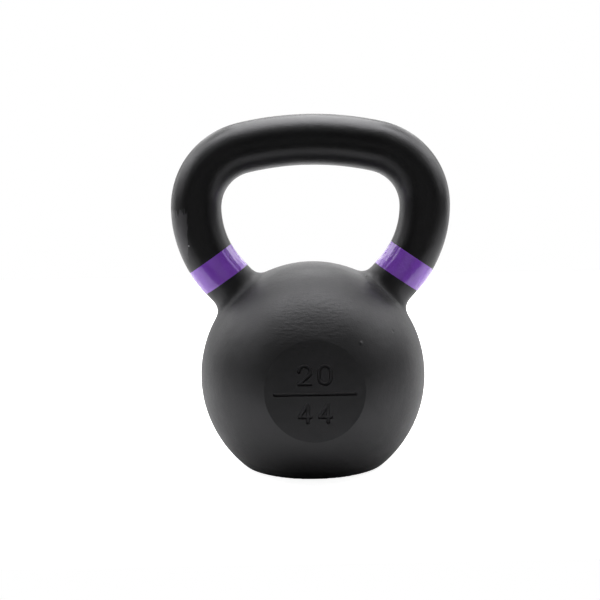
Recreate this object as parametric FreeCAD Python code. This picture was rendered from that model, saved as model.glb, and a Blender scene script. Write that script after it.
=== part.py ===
import FreeCAD, Part
import math
import os
from FreeCAD import Vector

# A cast-iron kettlebell of 20 kg: one solid casting, with a gloss band round each horn.
# Millimetres. Z is up and the origin is the centre of the flat base. The handle runs
# along X, and the flat number face looks along -Y. Each half of the handle is the
# mirror image of the other.

# Bell: a body of revolution about Z.
bell_radius = 83.0          # at the waist, where the bell is widest
waist_height = 68.4         # of the widest circle above the base
side_flattening = 3.0       # the side arc's radius is larger than the bell's by this
crown_tightening = 0.2      # the crown arc's radius is smaller than the bell's by this
base_corner_radius = 10.3   # round from the side into the flat base

# Handle: a round bar. Its centreline lies in the XZ plane, and its legs stand on the bell.
handle_radius = 18.6
handle_half_width = 84.0    # centreline at its widest, from the middle
grip_bow_radius = 223.0     # the grip's gentle upward bow
shoulder_radius = 44.5      # where the grip turns down into the horn
horn_radius = 75.6          # where the horn turns in towards the bell
leg_lean = 42.5             # degrees from upright, of the straight leg that enters the bell
leg_reach = 13.8            # centreline of the straight leg, from the horn to the bell's skin
root_fillet = 9.0           # between horn and bell

# Number face: a flat cut on the front of the bell, with sunk figures.
face_radius = 35.8
face_edge_round = 0.8
figure_drop = 2.0           # the figures are centred this far below the waist
figure_height = 15.0
figure_width = 10.4
figure_gap = 3.6            # between the two figures of a row
row_gap = 4.6               # from a row of figures to the bar
bar_margin = 6.8            # from the ends of the bar to the face's rim
stroke_width = 2.4
stroke_depth = 1.3
tail_angle = 35             # degrees below level, where the bowl of the two turns into its tail
four_cross_rise = 3.5       # from the foot of the four to its cross stroke
four_overhang = 2.2         # of the cross stroke past the four's stem

# Bands: thin plastic tape wrapped round the horns. The tape is straight, so the edges of
# a band lie in two parallel planes, although the horn bends under it.
band_width = 19.5
band_lean = 34.6            # degrees from upright, of the direction across the tape
band_thickness = 0.3
band_gap = 2.6              # on the centreline, from the band to the start of the root's fillet
band_spare = 7.0            # what the sleeve has at each end before the tape's edges cut it

lean = math.radians(leg_lean)
middle_plane = (Vector(0, 0, 0), Vector(1, 0, 0))
touching = 0.001            # points nearer to a skin than this lie on it


def on_circle(centre, radius, angle):
    """A point of a circle in the XZ plane, at an angle from +X towards +Z."""
    return centre + Vector(radius * math.cos(angle), 0, radius * math.sin(angle))


def arc(centre, radius, start, end):
    """An arc in the XZ plane between two angles."""
    points = [on_circle(centre, radius, a) for a in (start, (start + end) / 2, end)]
    return Part.Arc(*points).toShape()


# ---- bell ---------------------------------------------------------------------------

side_radius = bell_radius + side_flattening
crown_radius = bell_radius - crown_tightening
side_centre = Vector(-side_flattening, 0, waist_height)
crown_rise = math.sqrt((side_radius - crown_radius) ** 2 - side_flattening ** 2)
crown_centre = Vector(0, 0, waist_height + crown_rise)
face_distance = math.sqrt(side_radius ** 2 - face_radius ** 2) - side_flattening


def bell():
    """Base, corner, side and crown arcs, each tangent to the next, turned about Z."""
    corner_height = base_corner_radius - waist_height
    corner_reach = math.sqrt((side_radius - base_corner_radius) ** 2 - corner_height ** 2)
    corner_centre = side_centre + Vector(corner_reach, 0, corner_height)
    corner_end = math.atan2(corner_height, corner_reach)
    crown_start = math.atan2(crown_rise, side_flattening)
    foot = Vector(corner_centre.x, 0, 0)
    top = crown_centre + Vector(0, 0, crown_radius)
    edges = [
        Part.LineSegment(Vector(0, 0, 0), foot).toShape(),
        arc(corner_centre, base_corner_radius, -math.pi / 2, corner_end),
        arc(side_centre, side_radius, corner_end, crown_start),
        arc(crown_centre, crown_radius, crown_start, math.pi / 2),
        Part.LineSegment(top, Vector(0, 0, 0)).toShape(),
    ]
    half_section = Part.Face(Part.Wire(edges))
    half_section.rotate(Vector(0, 0, 0), Vector(0, 0, 1), 90)   # the seam is at the back
    return half_section.revolve(Vector(0, 0, 0), Vector(0, 0, 1), 360)


# ---- handle -------------------------------------------------------------------------

# The centreline is settled from the bell upwards: leg, horn, shoulder, then the grip.
leg_direction = Vector(-math.sin(lean), 0, -math.cos(lean))
horn_centre_x = handle_half_width - horn_radius
leg_foot_x = horn_centre_x + horn_radius * math.cos(lean) - leg_reach * math.sin(lean)
leg_foot_z = crown_centre.z + math.sqrt(crown_radius ** 2 - leg_foot_x ** 2)
leg_start = Vector(leg_foot_x, 0, leg_foot_z) - leg_direction * leg_reach
leg_length = leg_start.x / math.sin(lean)    # the buried end is on the bell's axis
horn_centre = Vector(horn_centre_x, 0, leg_start.z + horn_radius * math.sin(lean))
shoulder_centre = horn_centre + Vector(horn_radius - shoulder_radius, 0, 0)
shoulder_offset = grip_bow_radius - shoulder_radius
bow_angle = math.asin(shoulder_centre.x / shoulder_offset)
bow_centre = Vector(0, 0, shoulder_centre.z - shoulder_offset * math.cos(bow_angle))


def disc(centre, normal, radius):
    """A round section of the bar."""
    return Part.Face(Part.Wire(Part.Circle(centre, normal, radius).toShape()))


def bend(section, centre, angle):
    """Sweep a section clockwise, seen from the front, round a centre."""
    return section.revolve(centre, Vector(0, 1, 0), math.degrees(angle))


def handle_half():
    """The right half: bow, shoulder, horn and the leg that is buried in the bell."""
    top = bow_centre + Vector(0, 0, grip_bow_radius)
    bow_end = on_circle(bow_centre, grip_bow_radius, math.pi / 2 - bow_angle)
    bow_end_direction = Vector(math.cos(bow_angle), 0, -math.sin(bow_angle))
    widest = horn_centre + Vector(horn_radius, 0, 0)
    bow = bend(disc(top, Vector(1, 0, 0), handle_radius), bow_centre, bow_angle)
    shoulder_section = disc(bow_end, bow_end_direction, handle_radius)
    shoulder = bend(shoulder_section, shoulder_centre, math.pi / 2 - bow_angle)
    horn = bend(disc(widest, Vector(0, 0, -1), handle_radius), horn_centre, lean)
    leg = disc(leg_start, leg_direction, handle_radius).extrude(leg_direction * leg_length)
    return bow.fuse([shoulder, horn, leg])


def handle():
    right = handle_half()
    return right.fuse(right.mirror(*middle_plane)).removeSplitter()


def shared_edges(body, first, second):
    """The edges of a body that lie on the skins of both of the shapes it came from."""
    found = []
    for edge in body.Edges:
        low, high = edge.ParameterRange
        points = [edge.valueAt(low + (high - low) * part) for part in (0.1, 0.5, 0.9)]
        skins = (first.Shells[0], second.Shells[0])
        gaps = [skin.distToShape(Part.Vertex(p))[0] for skin in skins for p in points]
        if max(gaps) < touching:
            found.append(edge)
    return found


# ---- number face --------------------------------------------------------------------

# A cutter is drawn on the plane y = 0. Half of its height is sunk, and half stands clear.
stroke_radius = stroke_width / 2
cutter_height = Vector(0, 2 * stroke_depth, 0)


def straight_stroke(start, end):
    """A groove cutter with round ends."""
    along = (end - start).normalize()
    side = Vector(-along.z, 0, along.x) * stroke_radius
    corners = [start + side, end + side, end - side, start - side, start + side]
    faces = [Part.Face(Part.makePolygon(corners))]
    faces += [disc(point, Vector(0, 1, 0), stroke_radius) for point in (start, end)]
    return [face.extrude(cutter_height) for face in faces]


def round_stroke(centre, radius, start, end):
    """A groove cutter along an arc, with plain ends."""
    outer_radius = radius + stroke_radius
    inner_radius = radius - stroke_radius
    ends = []
    for angle in (start, end):
        inner_point = on_circle(centre, inner_radius, angle)
        ends.append(Part.LineSegment(inner_point, on_circle(centre, outer_radius, angle)).toShape())
    outer = arc(centre, outer_radius, start, end)
    inner = arc(centre, inner_radius, start, end)
    outline = Part.Wire(Part.__sortEdges__([outer, ends[1], inner, ends[0]]))
    return [Part.Face(outline).extrude(cutter_height)]


# Each figure stands in a box from the lower left corner. These are the centrelines of the
# strokes that run along the box's sides, so that the strokes just touch it.
left_line = stroke_radius
right_line = figure_width - stroke_radius
foot_line = stroke_radius
top_line = figure_height - stroke_radius
middle_line = figure_width / 2
bowl_radius = (right_line - left_line) / 2


def zero():
    upper = Vector(middle_line, 0, top_line - bowl_radius)
    lower = Vector(middle_line, 0, foot_line + bowl_radius)
    strokes = round_stroke(upper, bowl_radius, 0, math.pi)
    strokes += round_stroke(lower, bowl_radius, math.pi, 2 * math.pi)
    for x in (left_line, right_line):
        strokes += straight_stroke(Vector(x, 0, lower.z), Vector(x, 0, upper.z))
    return strokes


def two():
    centre = Vector(middle_line, 0, top_line - bowl_radius)
    tail = -math.radians(tail_angle)
    corner = Vector(left_line, 0, foot_line)
    strokes = round_stroke(centre, bowl_radius, tail, math.pi)
    strokes += straight_stroke(on_circle(centre, bowl_radius, tail), corner)
    strokes += straight_stroke(corner, Vector(right_line, 0, foot_line))
    return strokes


def four():
    stem_line = right_line - four_overhang
    cross_line = foot_line + four_cross_rise
    peak = Vector(stem_line, 0, top_line)
    elbow = Vector(left_line, 0, cross_line)
    strokes = straight_stroke(peak, Vector(stem_line, 0, foot_line))
    strokes += straight_stroke(peak, elbow)
    strokes += straight_stroke(elbow, Vector(right_line, 0, cross_line))
    return strokes


def row_of_figures(figures, base_line):
    """Two figures side by side, centred on the middle plane."""
    left = -figure_width - figure_gap / 2
    cutters = []
    for place, figure in enumerate(figures):
        offset = Vector(left + place * (figure_width + figure_gap), 0, base_line)
        for stroke in figure():
            stroke.translate(offset)
            cutters.append(stroke)
    return cutters


def figure_cutter():
    """20 kilograms over 44 pounds, as plain figures with a bar between them."""
    cutters = row_of_figures((two, zero), stroke_radius + row_gap)
    cutters += row_of_figures((four, four), -stroke_radius - row_gap - figure_height)
    bar_end = Vector(face_radius - bar_margin - stroke_radius, 0, 0)
    cutters += straight_stroke(-bar_end, bar_end)
    cutter = cutters[0].fuse(cutters[1:]).removeSplitter()
    cutter.translate(Vector(0, -face_distance - stroke_depth, waist_height - figure_drop))
    return cutter


def front_block():
    """All that the flat face takes off the front of the bell."""
    size = 2 * bell_radius
    corner = Vector(-bell_radius, -face_distance - size, waist_height - bell_radius)
    return Part.makeBox(size, size, size, corner)


def face_rim(body):
    """The edge round the flat face."""
    found = []
    for edge in body.Edges:
        box = edge.optimalBoundingBox(False)
        if max(abs(box.YMin + face_distance), abs(box.YMax + face_distance)) < touching:
            found.append(edge)
    return found


def iron_casting():
    bell_solid = bell()
    handle_solid = handle()
    body = bell_solid.fuse(handle_solid)
    body = body.makeFillet(root_fillet, shared_edges(body, bell_solid, handle_solid))
    body = body.cut(front_block())
    body = body.makeFillet(face_edge_round, face_rim(body))
    body = body.cut(figure_cutter())
    return body.Solids[0]


# ---- bands --------------------------------------------------------------------------

def bar_between(radius, start, end):
    """The round bar between two places on its centreline, measured from the top of the leg.
    Down the leg is positive, and up the horn is negative."""
    lengths = []
    if start < 0:
        angle = -start / horn_radius - lean
        direction = Vector(math.sin(angle), 0, -math.cos(angle))
        section = disc(on_circle(horn_centre, horn_radius, angle), direction, radius)
        lengths.append(bend(section, horn_centre, (min(end, 0) - start) / horn_radius))
    if end > 0:
        top = max(start, 0)
        section = disc(leg_start + leg_direction * top, leg_direction, radius)
        lengths.append(section.extrude(leg_direction * (end - top)))
    return lengths[0].fuse(lengths[1:]) if len(lengths) > 1 else lengths[0]


def band():
    """The right band: a thin sleeve, cut off where the straight edges of the tape lie."""
    foot = leg_reach - root_fillet - band_gap
    start = foot - band_width - band_spare
    end = foot + band_spare
    sleeve = bar_between(handle_radius + band_thickness, start, end)
    sleeve = sleeve.cut(bar_between(handle_radius, start, end))
    tilt = math.radians(band_lean)
    across = Vector(math.sin(tilt), 0, math.cos(tilt))
    lower_edge = disc(leg_start + leg_direction * foot, across, 2 * handle_radius)
    return sleeve.common(lower_edge.extrude(across * band_width)).removeSplitter().Solids[0]


os.makedirs("parts", exist_ok=True)
right_band = band()
pieces = {
    "iron_casting": iron_casting(),
    "right_band": right_band,
    "left_band": right_band.mirror(*middle_plane),
}
for name, shape in pieces.items():
    shape.exportStep("parts/" + name + ".step")
    box = shape.optimalBoundingBox(False)
    print(name, "solids", len(shape.Solids), "volume", round(shape.Volume / 1000, 2), "cm3",
          "size", round(box.XLength, 2), round(box.YLength, 2), round(box.ZLength, 2),
          "z", round(box.ZMin, 3), "valid", shape.isValid())
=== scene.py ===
import math
import bpy
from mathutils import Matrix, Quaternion, Vector


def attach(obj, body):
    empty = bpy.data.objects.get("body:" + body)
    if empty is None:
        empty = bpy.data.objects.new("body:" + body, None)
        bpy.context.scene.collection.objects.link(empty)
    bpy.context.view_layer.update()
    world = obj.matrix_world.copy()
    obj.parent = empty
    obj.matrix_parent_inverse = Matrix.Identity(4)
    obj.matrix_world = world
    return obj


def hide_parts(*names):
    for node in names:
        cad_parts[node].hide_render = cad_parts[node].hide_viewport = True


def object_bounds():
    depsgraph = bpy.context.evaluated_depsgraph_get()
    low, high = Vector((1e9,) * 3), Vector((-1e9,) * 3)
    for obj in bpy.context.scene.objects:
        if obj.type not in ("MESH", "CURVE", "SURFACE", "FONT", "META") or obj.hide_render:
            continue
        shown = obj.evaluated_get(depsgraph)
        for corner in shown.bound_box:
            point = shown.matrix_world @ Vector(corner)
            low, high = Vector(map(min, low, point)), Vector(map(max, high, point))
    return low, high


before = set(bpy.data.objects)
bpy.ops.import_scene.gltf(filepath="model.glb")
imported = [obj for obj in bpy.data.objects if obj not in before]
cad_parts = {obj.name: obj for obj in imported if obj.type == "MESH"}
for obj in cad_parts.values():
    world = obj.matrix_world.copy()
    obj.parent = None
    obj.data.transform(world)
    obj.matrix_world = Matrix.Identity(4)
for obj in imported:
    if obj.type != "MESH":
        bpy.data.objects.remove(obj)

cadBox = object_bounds()
boxLow, boxHigh = cadBox
boxCentre = (boxLow + boxHigh) / 2
mm = 0.001
exactCut = 0.001 * mm            # bisect leaves nothing uncut beyond this
bpy.context.scene.view_settings.view_transform = "Standard"


def selectOnly(*objects):
    if bpy.context.object and bpy.context.object.mode != "OBJECT":
        bpy.ops.object.mode_set(mode="OBJECT")
    bpy.ops.object.select_all(action="DESELECT")
    for one in objects:
        one.select_set(True)
    bpy.context.view_layer.objects.active = objects[0]


def inEdit(piece, *steps):
    # each step is an operator with its settings, run on the whole mesh
    selectOnly(piece)
    bpy.ops.object.mode_set(mode="EDIT")
    for operator, settings in steps:
        bpy.ops.mesh.select_all(action="SELECT")
        operator(**settings)
    bpy.ops.object.mode_set(mode="OBJECT")


def copyOfNode(nodeName, pieceName, weld):
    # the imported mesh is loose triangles, so the copy is merged before it is worked on
    piece = bpy.data.objects.new(pieceName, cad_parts[nodeName].data.copy())
    bpy.context.scene.collection.objects.link(piece)
    piece.data.materials.clear()
    inEdit(piece, (bpy.ops.mesh.remove_doubles, {"threshold": weld}))
    return piece


def applyModifier(piece, kind, **settings):
    selectOnly(piece)
    modifier = piece.modifiers.new(kind.title(), kind)
    for name, value in settings.items():
        setattr(modifier, name, value)
    bpy.ops.object.modifier_apply(modifier=modifier.name)


def cutOff(piece, place, direction, **settings):
    # takes away all that lies beyond a plane
    inEdit(piece, (bpy.ops.mesh.bisect, {"plane_co": place, "plane_no": direction, "threshold": exactCut,
                                         "clear_outer": True, **settings}))


cameraPlan = {
    "azimuth": -0.45,            # degrees, 0 looks along +Y
    "elevation": 6.1,
    "roll": -0.88,
    "distance": 0.950,
    "lens": 76.98,
    "sensor": 36,
    "aimOffset": (-8.77 * mm, -3.57 * mm, -6.4 * mm),   # from the middle of the object's box
}


def makeCamera(plan):
    azimuth, elevation = math.radians(plan["azimuth"]), math.radians(plan["elevation"])
    back = Vector((math.sin(azimuth) * math.cos(elevation),
                   -math.cos(azimuth) * math.cos(elevation),
                   math.sin(elevation)))
    camera = bpy.data.objects.new("camera", bpy.data.cameras.new("camera"))
    bpy.context.scene.collection.objects.link(camera)
    camera.data.lens = plan["lens"]
    camera.data.sensor_width = plan["sensor"]
    camera.location = boxCentre + Vector(plan["aimOffset"]) + back * plan["distance"]
    turn = (-back).to_track_quat("-Z", "Y") @ Quaternion((0, 0, 1), math.radians(plan["roll"]))
    camera.rotation_euler = turn.to_euler()
    bpy.context.scene.camera = camera


makeCamera(cameraPlan)
print("camera ready")

stagePlan = {
    "floorFront": -0.24,         # the table ends a little in front of the object
    "floorBack": 1.60,
    "halfWidth": 1.30,
    "wallHeight": 0.50,
    "paper": (0.8, 0.8, 0.8, 1),
    "paperLift": 0.92,           # added for the camera only, so that the paper reads as white
    "wallLevel": 1.0,            # the white wall at the far end of the table
    "roomLevel": 0.01,           # the dark room round the table
    "skyLevel": 1.0,             # what the camera sees of it
}


def newMaterial(name):
    material = bpy.data.materials.new(name)
    material.use_nodes = True
    nodes, links = material.node_tree.nodes, material.node_tree.links
    nodes.clear()
    return material, nodes, links


def seenAndLit(nodes, links, kind, seen, lit):
    # the camera gets one shader and all other rays the other
    out = nodes.new(kind)
    ray = nodes.new("ShaderNodeLightPath")
    pick = nodes.new("ShaderNodeMixShader")
    links.new(ray.outputs["Is Camera Ray"], pick.inputs[0])
    links.new(lit.outputs[0], pick.inputs[1])
    links.new(seen.outputs[0], pick.inputs[2])
    links.new(pick.outputs[0], out.inputs["Surface"])


def glow(nodes, level):
    emission = nodes.new("ShaderNodeEmission")
    emission.inputs["Strength"].default_value = level
    return emission


def makeStagePlane(name, place, turn, width, depth, material):
    bpy.ops.object.select_all(action="DESELECT")
    bpy.ops.mesh.primitive_plane_add(size=1, location=place, rotation=turn)
    plane = bpy.context.object
    plane.name = name
    plane.scale = (width, depth, 1)
    bpy.ops.object.transform_apply(location=True, rotation=True, scale=True)
    plane.data.materials.append(material)


def makeStage(plan):
    paper, nodes, links = newMaterial("paperFloor")
    diffuse = nodes.new("ShaderNodeBsdfDiffuse")
    diffuse.inputs["Color"].default_value = plan["paper"]
    lifted = nodes.new("ShaderNodeAddShader")
    links.new(diffuse.outputs[0], lifted.inputs[0])
    links.new(glow(nodes, plan["paperLift"]).outputs[0], lifted.inputs[1])
    # from below the paper is clear, so that the base can be looked at
    oneSided = nodes.new("ShaderNodeMixShader")
    links.new(nodes.new("ShaderNodeNewGeometry").outputs["Backfacing"], oneSided.inputs[0])
    links.new(lifted.outputs[0], oneSided.inputs[1])
    links.new(nodes.new("ShaderNodeBsdfTransparent").outputs[0], oneSided.inputs[2])
    seenAndLit(nodes, links, "ShaderNodeOutputMaterial", oneSided, diffuse)

    wall, nodes, links = newMaterial("whiteWall")
    out = nodes.new("ShaderNodeOutputMaterial")
    links.new(glow(nodes, plan["wallLevel"]).outputs[0], out.inputs["Surface"])

    width = plan["halfWidth"] * 2
    depth = plan["floorBack"] - plan["floorFront"]
    middle = (plan["floorBack"] + plan["floorFront"]) / 2
    makeStagePlane("floor", (0, middle, 0), (0, 0, 0), width, depth, paper)
    makeStagePlane("wall", (0, plan["floorBack"], plan["wallHeight"] / 2), (math.radians(90), 0, 0),
                   width, plan["wallHeight"], wall)

    world = bpy.data.worlds.new("studio")
    bpy.context.scene.world = world
    world.use_nodes = True
    nodes, links = world.node_tree.nodes, world.node_tree.links
    nodes.clear()
    sky = {}
    for name, level in (("seen", plan["skyLevel"]), ("room", plan["roomLevel"])):
        sky[name] = nodes.new("ShaderNodeBackground")
        sky[name].inputs["Color"].default_value = (1, 1, 1, 1)
        sky[name].inputs["Strength"].default_value = level
    seenAndLit(nodes, links, "ShaderNodeOutputWorld", sky["seen"], sky["room"])


lampPlan = {
    "topHeight": 0.95,
    "top": {                     # softboxes overhead: X reach from, to, Y from, to, level
        "frontBox": (0, 0.60, -0.25, -0.05, 3.75),
        "mainBox": (0, 0.60, -0.05, 0.15, 6.00),
        "backStrip": (0, 0.28, 0.15, 0.90, 4.90),
        "backBox": (0.30, 0.80, 0.45, 0.90, 2.27),
        "wing": (0.60, 1.20, -0.15, 0.50, 2.30),
        "corner": (0.45, 0.95, 0.90, 1.50, 3.00),
    },
    "sideDistance": 0.95,
    "side": {                    # panels on both sides: Z from, to, Y from, to, level
        "highFront": (0.65, 0.95, -0.50, -0.10, 0.63),
        "high": (0.65, 0.95, -0.10, 0.40, 2.81),
        "highBack": (0.65, 0.95, 0.40, 0.90, 2.20),
        "highFar": (0.65, 0.95, 0.90, 1.45, 1.80),
        "middleFront": (0.35, 0.65, -0.30, 0.10, 1.49),
        "middle": (0.35, 0.65, 0.10, 0.50, 0.75),
        "middleBack": (0.35, 0.65, 0.50, 1.00, 2.41),
        "lowBack": (0.05, 0.35, 0.50, 1.00, 2.10),
    },
    "upright": {                 # panels across the table: Y, X reach, Z from, to, level
        "overWall": (1.55, 0.70, 0.50, 0.95, 2.40),
        "frontFill": (-1.00, 0.80, 0.02, 0.40, 0.20),
    },
}


def makeLamp(name, place, turn, width, depth, level):
    light = bpy.data.lights.new(name, "AREA")
    light.shape = "RECTANGLE"
    light.size, light.size_y = width, depth
    light.energy = level * width * depth * math.pi      # the level is what a mirror would show
    lamp = bpy.data.objects.new(name, light)
    bpy.context.scene.collection.objects.link(lamp)
    lamp.location = place
    lamp.rotation_euler = turn
    lamp.visible_camera = False


def makeLamps(plan):
    quarter = math.radians(90)
    for name, (inner, outer, front, back, level) in plan["top"].items():
        middleY, depth = (front + back) / 2, back - front
        if inner == 0:
            makeLamp(name, (0, middleY, plan["topHeight"]), (0, 0, 0), 2 * outer, depth, level)
            continue
        for word, sign in (("Left", -1), ("Right", 1)):
            middle = (sign * (inner + outer) / 2, middleY, plan["topHeight"])
            makeLamp(name + word, middle, (0, 0, 0), outer - inner, depth, level)
    for name, (foot, top, front, back, level) in plan["side"].items():
        for word, sign in (("Left", -1), ("Right", 1)):
            middle = (sign * plan["sideDistance"], (front + back) / 2, (foot + top) / 2)
            makeLamp(name + word, middle, (0, sign * quarter, 0), top - foot, back - front, level)
    for name, (place, reach, foot, top, level) in plan["upright"].items():
        turn = (-quarter if place > 0 else quarter, 0, 0)
        makeLamp(name, (0, place, (foot + top) / 2), turn, 2 * reach, top - foot, level)


makeStage(stagePlan)
makeLamps(lampPlan)
print("stage and lamps ready")


def mathNode(nodes, links, operation, first, second=None):
    node = nodes.new("ShaderNodeMath")
    node.operation = operation
    for slotNumber, value in enumerate((first, second)):
        if value is None:
            continue
        if isinstance(value, (int, float)):
            node.inputs[slotNumber].default_value = value
        else:
            links.new(value, node.inputs[slotNumber])
    return node.outputs[0]


def rampNode(nodes, links, value, low, high, toLow=0, toHigh=1, smooth=False):
    node = nodes.new("ShaderNodeMapRange")
    node.interpolation_type = "SMOOTHSTEP" if smooth else "LINEAR"
    links.new(value, node.inputs["Value"])
    for name, number in (("From Min", low), ("From Max", high), ("To Min", toLow), ("To Max", toHigh)):
        node.inputs[name].default_value = number
    return node.outputs[0]


def mixColour(nodes, links, factor, first, second, blend="MIX"):
    node = nodes.new("ShaderNodeMix")
    node.data_type = "RGBA"
    node.blend_type = blend
    if isinstance(factor, (int, float)):
        node.inputs[0].default_value = factor
    else:
        links.new(factor, node.inputs[0])
    for slotNumber, value in ((6, first), (7, second)):
        if isinstance(value, tuple):
            node.inputs[slotNumber].default_value = value
        else:
            links.new(value, node.inputs[slotNumber])
    return node.outputs[2]


noiseRange = (0.3, 0.7)          # most of a noise lies between these
cloudRange = (0.35, 0.65)        # a little narrower, so that the clouds have edges
coatPlan = {                     # sprayed coat: detail and roughness of each noise
    "Grain": (2, 0.55),
    "Lumps": (1, 0.5),           # of the cast surface under the coat
    "Clouds": (3, 0.6),          # handling marks
}


def makeCoatGroup(plan):
    # each noise has its own size in mm
    group = bpy.data.node_groups.new("coatTexture", "ShaderNodeTree")
    group.interface.new_socket(name="Place", in_out="INPUT", socket_type="NodeSocketVector")
    for name in plan:
        group.interface.new_socket(name=name + " Size", in_out="INPUT", socket_type="NodeSocketFloat")
        group.interface.new_socket(name=name, in_out="OUTPUT", socket_type="NodeSocketFloat")
    nodes, links = group.nodes, group.links
    come, go = nodes.new("NodeGroupInput"), nodes.new("NodeGroupOutput")
    for name, (detail, rough) in plan.items():
        noise = nodes.new("ShaderNodeTexNoise")
        links.new(come.outputs["Place"], noise.inputs["Vector"])
        scale = mathNode(nodes, links, "DIVIDE", 1 / mm, come.outputs[name + " Size"])
        links.new(scale, noise.inputs["Scale"])
        noise.inputs["Detail"].default_value = detail
        noise.inputs["Roughness"].default_value = rough
        value = noise.outputs[0]
        if name == "Clouds":
            value = rampNode(nodes, links, value, *cloudRange)
        links.new(value, go.inputs[name])
    return group


coatGroup = makeCoatGroup(coatPlan)


def placeCoat(nodes, links, vector, sizes):
    coat = nodes.new("ShaderNodeGroup")
    coat.node_tree = coatGroup
    links.new(vector, coat.inputs["Place"])
    for name, size in zip(coatPlan, sizes):
        coat.inputs[name + " Size"].default_value = size
    return [coat.outputs[name] for name in coatPlan]


def newFinish(name):
    material, nodes, links = newMaterial(name)
    out = nodes.new("ShaderNodeOutputMaterial")
    shader = nodes.new("ShaderNodeBsdfPrincipled")
    links.new(shader.outputs[0], out.inputs["Surface"])
    place = nodes.new("ShaderNodeTexCoord").outputs["Object"]
    return material, nodes, links, shader, place


def stretchedNoise(nodes, links, place, scale, detail):
    mapping = nodes.new("ShaderNodeMapping")
    mapping.inputs["Scale"].default_value = scale
    links.new(place, mapping.inputs["Vector"])
    noise = nodes.new("ShaderNodeTexNoise")
    links.new(mapping.outputs[0], noise.inputs["Vector"])
    noise.inputs["Scale"].default_value = 1
    noise.inputs["Detail"].default_value = detail
    return noise.outputs[0]


def bumpNode(nodes, links, height):
    # heights are in millimetres
    bump = nodes.new("ShaderNodeBump")
    bump.inputs["Distance"].default_value = mm
    links.new(height, bump.inputs["Height"])
    return bump.outputs[0]


def nearPlace(nodes, links, vector, place, inner, outer):
    # 1 inside a ball round a place, fading to 0 outside it
    away = nodes.new("ShaderNodeVectorMath")
    away.operation = "DISTANCE"
    links.new(vector, away.inputs[0])
    away.inputs[1].default_value = place
    return rampNode(nodes, links, away.outputs["Value"], inner, outer, 1, 0, True)


# places, reaches and edges are in metres
ironPlan = {
    "bellColour": (0.0045, 0.0044, 0.0048, 1),
    "gripColour": (0.0020, 0.0020, 0.0021, 1),     # the handle is darker than the bell
    "shine": 0.65,                                 # a little more than bare plastic has
    "shineTint": (0.970, 0.962, 1.0, 1),
    "bellRoughness": 0.50,
    "gripRoughness": 0.40,
    "gripFrom": 0.138,                             # the bell's finish turns into the grip's
    "gripTo": 0.160,                               # between these heights
    "coatSizes": (1.3, 9, 34),                     # grain, lumps and clouds, mm
    "cloudShade": 0.14,                            # clouds are lighter or darker by this share
    "cloudRoughness": 0.035,                       # and rougher or smoother by this
    "grainRoughness": 0.03,
    "grainHeight": 0.062,                          # these three heights are in mm
    "lumpHeight": 0.16,
    "rippleHeight": 0.20,
    "ripplePlace": (-0.003, -0.066, 0.116),        # sagged coat above the flat face
    "rippleReach": (0.012, 0.040),                 # it fades out between these distances
    "rippleScale": (190, 190, 620),                # per metre, closest upwards
    "scuffPlace": (-0.0955, -0.014, 0.176),        # rub mark on the left horn
    "scuffReach": (0.014, 0.026),                  # whole up to here, gone beyond there
    "scuffEdge": -0.0890,                          # it ends sharply here towards the window
    "scuffTop": 0.1915,
    "scuffEdgeJitter": 0.0005,                     # how far the edge and the top wander
    "scuffTopJitter": 0.004,
    "scuffEdgeBlur": 0.001,                        # and how softly they end
    "scuffTopBlur": 0.002,
    "scuffColour": (0.070, 0.069, 0.073, 1),
    "raggedScale": (900, 300, 160),                # of the noise that they wander with, per metre
    "chipPlace": (-0.0889, -0.0161, 0.1661),       # a chip down to bare iron, in the rub mark
    "chipReach": (0.0004, 0.0009),
    "chipColour": (0.30, 0.30, 0.31, 1),
}


def raggedSide(nodes, links, axis, noise, jitter, edge, blur):
    # 1 on the low side of an edge that wanders with the noise, 0 beyond it
    shift = rampNode(nodes, links, noise, *noiseRange, -jitter, jitter)
    return rampNode(nodes, links, mathNode(nodes, links, "ADD", axis, shift), edge, edge - blur, 0, 1, True)


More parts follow.
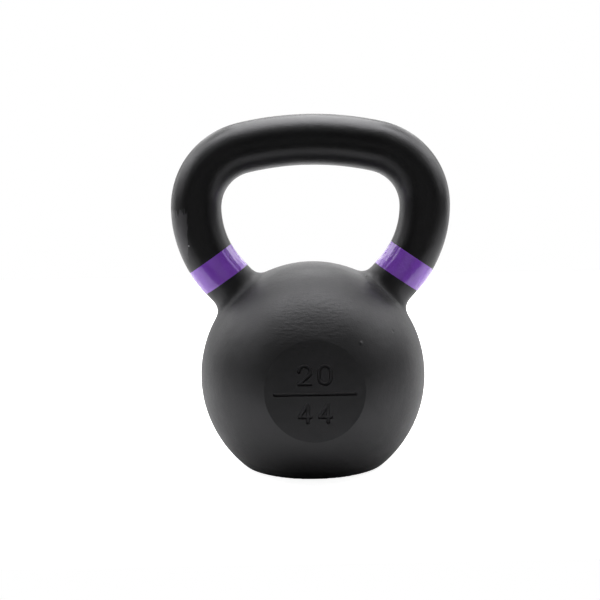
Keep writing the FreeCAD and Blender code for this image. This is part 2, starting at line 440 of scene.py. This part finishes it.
def makeIron(plan):
    material, nodes, links, shader, place = newFinish("coatedIron")
    split = nodes.new("ShaderNodeSeparateXYZ")
    links.new(place, split.inputs[0])
    grip = rampNode(nodes, links, split.outputs["Z"], plan["gripFrom"], plan["gripTo"], 0, 1, True)
    grain, lumps, clouds = placeCoat(nodes, links, place, plan["coatSizes"])

    # rub mark: a worn patch with one sharp side and a ragged top
    ragged = stretchedNoise(nodes, links, place, plan["raggedScale"], 2)
    nearScuff = nearPlace(nodes, links, place, plan["scuffPlace"], *plan["scuffReach"])
    sideOfScuff = raggedSide(nodes, links, split.outputs["X"], ragged, plan["scuffEdgeJitter"],
                             plan["scuffEdge"], plan["scuffEdgeBlur"])
    topOfScuff = raggedSide(nodes, links, split.outputs["Z"], ragged, plan["scuffTopJitter"],
                            plan["scuffTop"], plan["scuffTopBlur"])
    insideScuff = mathNode(nodes, links, "MULTIPLY", sideOfScuff, topOfScuff)
    scuff = mathNode(nodes, links, "MULTIPLY", nearScuff, insideScuff)

    # sagged coat: ripples that lie level
    ripples = stretchedNoise(nodes, links, place, plan["rippleScale"], 3)
    nearRipples = nearPlace(nodes, links, place, plan["ripplePlace"], *plan["rippleReach"])
    rippleHeight = mathNode(nodes, links, "MULTIPLY", ripples, nearRipples)

    colour = mixColour(nodes, links, grip, plan["bellColour"], plan["gripColour"])
    shade = rampNode(nodes, links, clouds, 0, 1, 1 - plan["cloudShade"], 1 + plan["cloudShade"])
    tint = nodes.new("ShaderNodeCombineColor")
    for channel in ("Red", "Green", "Blue"):
        links.new(shade, tint.inputs[channel])
    colour = mixColour(nodes, links, 1.0, colour, tint.outputs[0], "MULTIPLY")
    colour = mixColour(nodes, links, scuff, colour, plan["scuffColour"])
    chip = nearPlace(nodes, links, place, plan["chipPlace"], *plan["chipReach"])
    colour = mixColour(nodes, links, chip, colour, plan["chipColour"])
    links.new(colour, shader.inputs["Base Color"])

    rough = rampNode(nodes, links, grip, 0, 1, plan["bellRoughness"], plan["gripRoughness"])
    cloudy, grainy = plan["cloudRoughness"], plan["grainRoughness"]
    cloudRough = rampNode(nodes, links, clouds, 0, 1, -cloudy, cloudy)
    grainRough = rampNode(nodes, links, grain, *noiseRange, -grainy, grainy)
    rough = mathNode(nodes, links, "ADD", rough, cloudRough)
    rough = mathNode(nodes, links, "ADD", rough, grainRough)
    links.new(rough, shader.inputs["Roughness"])

    height = mathNode(nodes, links, "MULTIPLY", grain, plan["grainHeight"])
    lumpHeight = mathNode(nodes, links, "MULTIPLY", lumps, plan["lumpHeight"])
    rippleHeight = mathNode(nodes, links, "MULTIPLY", rippleHeight, plan["rippleHeight"])
    height = mathNode(nodes, links, "ADD", height, lumpHeight)
    height = mathNode(nodes, links, "ADD", height, rippleHeight)
    links.new(bumpNode(nodes, links, height), shader.inputs["Normal"])
    shader.inputs["Specular IOR Level"].default_value = plan["shine"]
    shader.inputs["Specular Tint"].default_value = plan["shineTint"]
    return material


tapePlan = {
    "colour": (0.35, 0.105, 0.83, 1),
    "fadedColour": (0.38, 0.125, 0.86, 1),
    "coatSizes": (1.6, 2.6, 14),   # grain, wrinkles and clouds, mm
    "roughness": (0.19, 0.26),
    "gloss": 0.85,               # clear film over the dye
    "filmRoughness": 0.09,
    "grainHeight": 0.010,        # mm, the coat's grain telling through
    "wrinkleHeight": 0.20,
}


def makeTape(plan):
    material, nodes, links, shader, place = newFinish("bandTape")
    grain, lumps, clouds = placeCoat(nodes, links, place, plan["coatSizes"])
    dye = mixColour(nodes, links, clouds, plan["colour"], plan["fadedColour"])
    links.new(dye, shader.inputs["Base Color"])
    links.new(rampNode(nodes, links, clouds, 0, 1, *plan["roughness"]), shader.inputs["Roughness"])
    height = mathNode(nodes, links, "ADD", mathNode(nodes, links, "MULTIPLY", grain, plan["grainHeight"]),
                      mathNode(nodes, links, "MULTIPLY", lumps, plan["wrinkleHeight"]))
    bump = bumpNode(nodes, links, height)
    links.new(bump, shader.inputs["Normal"])
    links.new(bump, shader.inputs["Coat Normal"])
    shader.inputs["Coat Weight"].default_value = plan["gloss"]
    shader.inputs["Coat Roughness"].default_value = plan["filmRoughness"]
    return material


coatedIron = makeIron(ironPlan)
bandTape = makeTape(tapePlan)
print("finishes ready")

handlePlan = {
    "barRadius": 18.6 * mm,
    "hornRadius": 75.6 * mm,     # centreline of the horn's bend
    "hornHeight": 192.82 * mm,   # centre of that bend, above the base
    "legLean": 42.5,             # degrees from upright
}


def handlePlaces(plan):
    # worked out for the right side, and the left side mirrors it
    lean = math.radians(plan["legLean"])
    outward = Vector((math.cos(lean), 0, -math.sin(lean)))
    hornCentre = Vector((boxHigh.x - plan["barRadius"] - plan["hornRadius"], 0, plan["hornHeight"]))
    return {"hornCentre": hornCentre, "legTop": hornCentre + outward * plan["hornRadius"],
            "outward": outward, "downLeg": Vector((-math.sin(lean), 0, -math.cos(lean)))}


handleSpots = handlePlaces(handlePlan)

castingPlan = {
    "weld": 0.01 * mm,
    "mirrorWeld": 0.02 * mm,
    "voxel": 1.45 * mm,          # size of the skin's faces
    "smoothing": 0.5,
    "smoothRounds": 12,
    "regrow": 0.04 * mm,         # what the smoothing takes off the skin
    "waveSize": 22 * mm,
    "waveHeight": 0.16 * mm,
    "waveMiddle": 0.65,          # above a half, the waves lie mostly inwards
    "groundOff": 0.2 * mm,       # what lies lower than this is ground flat
    "sliver": 0.003 * mm,        # edges shorter than this are closed up
    "lipAngle": 30,              # edges sharper than this stay sharp
    "rimMargin": 1.5 * mm,       # the rim of the face lies farther out than the bar's ends, by this
    "rimSlack": 0.01 * mm,       # a point this near to the face lies on it
}

figurePlan = {
    "figures": ("20", "44"),     # above and below the bar
    "height": 15.0 * mm,
    "width": 10.4 * mm,
    "gap": 3.6 * mm,             # between the two figures of a row
    "rowGap": 4.6 * mm,          # from the bar to a row
    "strokeWidth": 2.4 * mm,
    "barLength": 58.0 * mm,
    "barHeight": 66.4 * mm,      # middle of the bar, above the floor
    "weld": 0.001 * mm,
    "tailAngle": 35,             # where the 2 leaves its bow
    "crossRise": 3.5 * mm,       # bar of the 4 above its foot
    "overhang": 2.2 * mm,        # how far that bar runs past the stem
    "bowSteps": 16,              # in half a turn
    "tailSteps": 18,             # in the bow of the 2
    "endSteps": 5,               # in the tapered end of a stroke
    "endTurn": 17,               # degrees for each of them
    "endSize": 0.08,             # of the stroke's width, at its tip
}

# half of a groove's section: across, and out of the face, in stroke half widths
grooveSection = [(1.50, 0.55), (1.24, 0.09), (1.07, -0.03), (0.98, -0.16), (0.94, -0.45),
                 (0.88, -0.80), (0.72, -1.04), (0.40, -1.15)]
grooveFloor = (0, -1.18)


def arcPoints(centreX, centreZ, radius, start, end, steps):
    angles = [math.radians(start + (end - start) * k / steps) for k in range(steps + 1)]
    return [(centreX + radius * math.cos(a), centreZ + radius * math.sin(a)) for a in angles]


def figureStrokes(plan):
    # the centrelines of each figure from its lower left corner: (points, is a closed loop)
    half = plan["strokeWidth"] / 2
    left, right, foot, top = half, plan["width"] - half, half, plan["height"] - half
    bow = (right - left) / 2
    middle = plan["width"] / 2
    stem, cross = right - plan["overhang"], foot + plan["crossRise"]
    zeroLoop = (arcPoints(middle, top - bow, bow, 0, 180, plan["bowSteps"])
                + arcPoints(middle, foot + bow, bow, 180, 360, plan["bowSteps"]))
    twoBow = arcPoints(middle, top - bow, bow, 180, -plan["tailAngle"], plan["tailSteps"]) + [(left, foot)]
    return {
        "0": [(zeroLoop, True)],
        "2": [(twoBow, False), ([(left, foot), (right, foot)], False)],
        "4": [([(stem, top), (stem, foot)], False), ([(stem, top), (left, cross)], False),
              ([(left, cross), (right, cross)], False)],
    }


def polyCurve(name, points, closed):
    # a flat curve through points of (x, y, size)
    curve = bpy.data.curves.new(name, "CURVE")
    curve.dimensions = "2D"
    spline = curve.splines.new("POLY")
    spline.points.add(len(points) - 1)
    for point, (x, y, size) in zip(spline.points, points):
        point.co = (x, y, 0, 1)
        point.radius = size
    spline.use_cyclic_u = closed
    piece = bpy.data.objects.new(name, curve)
    bpy.context.scene.collection.objects.link(piece)
    return piece


def strokeCutter(plan, points, closed):
    half = plan["strokeWidth"] / 2
    placed = [(x, z, 1) for x, z in points]
    if not closed:
        # each end runs on by half a width and tapers like a round gouge
        for end, step in ((0, 1), (-1, -1)):
            tip, inner = Vector(points[end]), Vector(points[end + step])
            outward = (tip - inner).normalized()
            taper = []
            for k in range(1, plan["endSteps"] + 1):
                angle = math.radians(k * plan["endTurn"])
                place = tip + outward * half * math.sin(angle)
                taper.append((place.x, place.y, max(math.cos(angle), plan["endSize"])))
            placed = taper[::-1] + placed if end == 0 else placed + taper
    stroke = polyCurve("stroke", placed, closed)
    stroke.data.use_fill_caps = True
    return stroke


def grooveProfile(half):
    across = grooveSection + [grooveFloor] + [(-x, y) for x, y in reversed(grooveSection)]
    return polyCurve("grooveProfile", [(x * half, y * half, 1) for x, y in across], True)


def makeFigureCutters(plan):
    half = plan["strokeWidth"] / 2
    profile = grooveProfile(half)
    strokes = figureStrokes(plan)
    pitch = plan["width"] + plan["gap"]
    firstLeft = -plan["width"] - plan["gap"] / 2
    upper, lower = plan["figures"]
    rows = [(upper, half + plan["rowGap"]), (lower, -half - plan["rowGap"] - plan["height"])]
    rounds = [[], [], []]        # strokes of one round don't touch each other
    for digits, base in rows:
        for place, digit in enumerate(digits):
            for order, (points, closed) in enumerate(strokes[digit]):
                moved = [(x + firstLeft + place * pitch, z + base) for x, z in points]
                rounds[order].append(strokeCutter(plan, moved, closed))
    barEnd = plan["barLength"] / 2 - half
    rounds[0].append(strokeCutter(plan, [(-barEnd, 0), (barEnd, 0)], False))
    cutters = []
    for made in rounds:
        for stroke in made:
            stroke.data.bevel_mode = "OBJECT"
            stroke.data.bevel_object = profile
        selectOnly(*made)
        bpy.ops.object.convert(target="MESH")
        bpy.ops.object.join()
        cutter = bpy.context.object
        cutter.rotation_euler = (math.radians(90), 0, 0)
        cutter.location = (0, boxLow.y, plan["barHeight"])
        bpy.ops.object.transform_apply(location=True, rotation=True, scale=True)
        inEdit(cutter, (bpy.ops.mesh.remove_doubles, {"threshold": plan["weld"]}),
               (bpy.ops.mesh.normals_make_consistent, {"inside": False}))
        cutters.append(cutter)
    bpy.data.objects.remove(profile)
    return cutters


markPlan = {
    "ridgeDown": 16.0 * mm,      # the wavy seam round the right leg, below the top of the leg
    "ridgeX": 40 * mm,           # it lies beyond this, and in front of ridgeY
    "ridgeY": 5 * mm,
    "ridgeZ": (118 * mm, 160 * mm),
    "ridgeRadius": 27 * mm,      # and within this from the middle of the leg
    "ridgeAngles": (-80, 45),    # degrees round the leg, from its front outwards
    "ridgeFades": (15, 20),      # it fades over these, at each end
    "ridgeSway": 0.45 * mm,
    "swayWaves": 4,              # in a full turn
    "swayStart": 25,
    "ridgeRise": 0.5 * mm,       # it rises sharply from the leg and runs out softly into the bell
    "ridgeFall": 2.5 * mm,
    "ridgeHeight": 0.36 * mm,
    "pimple": (32.2 * mm, -69.5 * mm, 100.7 * mm),
    "pit": (56.0 * mm, -48.8 * mm, 106.0 * mm),
    "spotRadius": 1.5 * mm,
    "pimpleHeight": 0.35 * mm,
    "pitDepth": 0.22 * mm,
    "finerRidge": (-4, 1),       # the faces are cut finer here, in shares of its rise and fall
    "finerSpot": 2.5,            # and here, in spot radii
    "spotReach": 3,
}


def refineWhere(skin, test):
    # cuts the faces finer where a small mark needs them
    inEdit(skin, (bpy.ops.mesh.select_mode, {"type": "FACE"}),
           (bpy.ops.mesh.select_all, {"action": "DESELECT"}))
    for polygon in skin.data.polygons:
        polygon.select = test(polygon.center)
    bpy.ops.object.mode_set(mode="EDIT")
    bpy.ops.mesh.select_mode(type="FACE")
    bpy.ops.mesh.subdivide(number_cuts=2, smoothness=1)
    bpy.ops.object.mode_set(mode="OBJECT")


def ridgeReach(plan, place):
    # (share of the ridge's rise or fall, angle round the leg from its front), or None off the right leg
    lowest, highest = plan["ridgeZ"]
    if place.x < plan["ridgeX"] or place.y > plan["ridgeY"] or not lowest < place.z < highest:
        return None
    away = place - handleSpots["legTop"]
    across = away.dot(handleSpots["outward"])
    angle = math.degrees(math.atan2(across, -place.y))
    first, last = plan["ridgeAngles"]
    if math.hypot(across, place.y) > plan["ridgeRadius"] or not first < angle < last:
        return None
    sway = plan["ridgeSway"] * math.cos(math.radians(plan["swayWaves"] * (angle + plan["swayStart"])))
    past = away.dot(handleSpots["downLeg"]) - plan["ridgeDown"] - sway
    return past / plan["ridgeFall" if past > 0 else "ridgeRise"], angle


def shapeMarks(plan, skin):
    finerFrom, finerTo = plan["finerRidge"]
    finerSpot = plan["finerSpot"] * plan["spotRadius"]
    first, last = plan["ridgeAngles"]
    firstFade, lastFade = plan["ridgeFades"]
    spots = ((Vector(plan["pimple"]), plan["pimpleHeight"]), (Vector(plan["pit"]), -plan["pitDepth"]))

    def nearMark(place):
        reach = ridgeReach(plan, place)
        if reach and finerFrom < reach[0] < finerTo:
            return True
        return any((place - spot).length < finerSpot for spot, height in spots)

    refineWhere(skin, nearMark)
    for vertex in skin.data.vertices:
        reach = ridgeReach(plan, vertex.co)
        lift = 0
        if reach:
            fade = min(1, (reach[1] - first) / firstFade, (last - reach[1]) / lastFade)
            lift += plan["ridgeHeight"] * fade * math.exp(-reach[0] ** 2)
        for spot, height in spots:
            if abs(vertex.co.x - spot.x) < plan["spotReach"] * plan["spotRadius"]:
                gap = (vertex.co - spot).length / plan["spotRadius"]
                lift += height * math.exp(-2 * gap * gap)
        if lift:
            vertex.co += vertex.normal * lift


def addWaves(skin, name, size, height, middle):
    texture = bpy.data.textures.new(name, "CLOUDS")
    texture.noise_scale = size
    texture.noise_depth = 1
    applyModifier(skin, "DISPLACE", texture=texture, texture_coords="LOCAL", strength=height,
                  mid_level=middle)


def sharpenFaceRim(plan, skin):
    # the edge round the flat face stays crisp, and the lips of the figures stay soft
    faceY = boxLow.y
    figureReach = figurePlan["barLength"] / 2 + plan["rimMargin"]
    middle = Vector((0, faceY, figurePlan["barHeight"]))
    for edge in skin.data.edges:
        ends = [skin.data.vertices[v].co for v in edge.vertices]
        if all(abs(co.y - faceY) < plan["rimSlack"] and (co - middle).length > figureReach for co in ends):
            edge.use_edge_sharp = True


def makeCasting(plan):
    skin = copyOfNode("iron_casting", "castingSkin", plan["weld"])
    # the plain back half, mirrored to the front, gives the casting before its face is cut
    cutOff(skin, (0, 0, 0), (0, -1, 0))
    applyModifier(skin, "MIRROR", use_axis=(False, True, False), merge_threshold=plan["mirrorWeld"])
    applyModifier(skin, "REMESH", mode="VOXEL", voxel_size=plan["voxel"])
    applyModifier(skin, "SMOOTH", factor=plan["smoothing"], iterations=plan["smoothRounds"])
    inEdit(skin, (bpy.ops.transform.shrink_fatten, {"value": plan["regrow"]}))
    addWaves(skin, "castWaves", plan["waveSize"], plan["waveHeight"], plan["waveMiddle"])
    shapeMarks(markPlan, skin)
    # the face is planed off the front, and the base is ground flat
    for vertex in skin.data.vertices:
        if vertex.co.z < plan["groundOff"]:
            vertex.co.z -= 2 * plan["groundOff"]
    cutOff(skin, (0, boxLow.y, 0), (0, -1, 0), use_fill=True)
    cutOff(skin, (0, 0, 0), (0, 0, -1), use_fill=True)
    for cutter in makeFigureCutters(figurePlan):
        applyModifier(skin, "BOOLEAN", operation="DIFFERENCE", object=cutter, solver="EXACT")
        bpy.data.objects.remove(cutter)
    inEdit(skin, (bpy.ops.mesh.dissolve_degenerate, {"threshold": plan["sliver"]}))
    selectOnly(skin)
    bpy.ops.object.shade_smooth_by_angle(angle=math.radians(plan["lipAngle"]))
    sharpenFaceRim(plan, skin)
    applyModifier(skin, "WEIGHTED_NORMAL", mode="FACE_AREA", weight=50, keep_sharp=True)
    skin.data.materials.append(coatedIron)
    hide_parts("iron_casting")
    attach(skin, "root")
    print("casting skin", len(skin.data.polygons), "faces")


makeCasting(castingPlan)

bandPlan = {
    "lean": 34.6,                # degrees from upright, of the direction across the tape
    "startAngle": 20,            # on the horn's bend, above the band's upper edge
    "legRun": 12 * mm,           # down the leg, past the band's lower edge
    "stepsRound": 220,
    "stepsUp": 22,
    "stepsDown": 9,
    "outside": 18.9 * mm,        # radius of the outer turn
    "tape": 0.13 * mm,
    "lap": 24,                   # degrees by which the tape's end laps over its start
    "seamAngle": 150,            # where the start lies, from the front
    "creases": [(-35, 1.8 * mm, 0.17 * mm),    # angle from the front, half width, height
                (-42, 1.1 * mm, -0.12 * mm),
                (-51, 2.4 * mm, 0.17 * mm)],
    "wrinkleSize": 6 * mm,
    "wrinkleHeight": 0.18 * mm,
    "wrinkleMiddle": 0.7,        # above a half, the wrinkles lie mostly inwards
    "edgeRound": 0.04 * mm,
    "edgeAngle": 60,             # edges sharper than this are rounded
    "smoothAngle": 35,
    "weld": 0.002 * mm,
}


def windStrip(plan):
    # a spiral round the bar, drawn down the horn's bend and a little down the leg
    angle = math.radians(plan["startAngle"])
    outward = Vector((math.cos(angle), 0, -math.sin(angle)))
    middle = handleSpots["hornCentre"] + outward * handlePlan["hornRadius"]
    turn = math.radians(360 + plan["lap"])
    steps = round(plan["stepsRound"] * turn / math.tau)
    strip = bpy.data.objects.new("bandStrip", bpy.data.meshes.new("bandStrip"))
    bpy.context.scene.collection.objects.link(strip)
    strip.data.vertices.add(steps + 1)
    strip.data.edges.add(steps)
    for step, vertex in enumerate(strip.data.vertices):
        around = math.radians(plan["seamAngle"]) + turn * step / steps
        reach = plan["outside"] - plan["tape"] * (1 - step / steps)
        for place, halfWidth, height in plan["creases"]:
            away = abs(around - math.tau - math.radians(place)) * plan["outside"]
            reach += height * max(0, 1 - away / halfWidth)
        vertex.co = middle + (outward * math.sin(around) - Vector((0, math.cos(around), 0))) * reach
    for step, edge in enumerate(strip.data.edges):
        edge.vertices = (step, step + 1)
    selectOnly(strip)
    bpy.ops.object.mode_set(mode="EDIT")
    bpy.ops.mesh.select_mode(type="EDGE")
    bpy.ops.mesh.select_all(action="SELECT")
    bend = math.radians(handlePlan["legLean"] - plan["startAngle"])
    bpy.ops.mesh.spin(steps=plan["stepsUp"], angle=bend, center=handleSpots["hornCentre"],
                      axis=(0, -1, 0), use_auto_merge=False)
    move = handleSpots["downLeg"] * (plan["legRun"] / plan["stepsDown"])
    for step in range(plan["stepsDown"]):
        bpy.ops.mesh.extrude_region_move(TRANSFORM_OT_translate={"value": tuple(move)})
    bpy.ops.object.mode_set(mode="OBJECT")
    return strip


def trimBand(plan, strip, nodeName):
    # the tape's straight edges lie where the solid band ends
    lean = math.radians(plan["lean"])
    across = Vector((math.sin(lean), 0, math.cos(lean)))
    heights = [vertex.co.dot(across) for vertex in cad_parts[nodeName].data.vertices]
    cutOff(strip, across * max(heights), across)
    cutOff(strip, across * min(heights), -across)
    inEdit(strip, (bpy.ops.mesh.remove_doubles, {"threshold": plan["weld"]}))


def finishBand(plan, band, nodeName):
    outside = max(band.data.polygons, key=lambda polygon: abs(polygon.center.x))
    if outside.normal.x * outside.center.x < 0:
        inEdit(band, (bpy.ops.mesh.flip_normals, {}))
    addWaves(band, nodeName + "Waves", plan["wrinkleSize"], plan["wrinkleHeight"], plan["wrinkleMiddle"])
    applyModifier(band, "SOLIDIFY", thickness=plan["tape"], offset=-1)
    applyModifier(band, "BEVEL", width=plan["edgeRound"], segments=2, limit_method="ANGLE",
                  angle_limit=math.radians(plan["edgeAngle"]))
    selectOnly(band)
    bpy.ops.object.shade_smooth_by_angle(angle=math.radians(plan["smoothAngle"]))
    band.data.materials.append(bandTape)
    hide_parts(nodeName)
    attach(band, "root")


def makeBands(plan):
    right = windStrip(plan)
    right.name = "rightBandTape"
    trimBand(plan, right, "right_band")
    left = right.copy()
    left.data = right.data.copy()
    left.name = "leftBandTape"
    bpy.context.scene.collection.objects.link(left)
    for vertex in left.data.vertices:
        vertex.co.x = -vertex.co.x
    finishBand(plan, right, "right_band")
    finishBand(plan, left, "left_band")


makeBands(bandPlan)
print("bands ready")
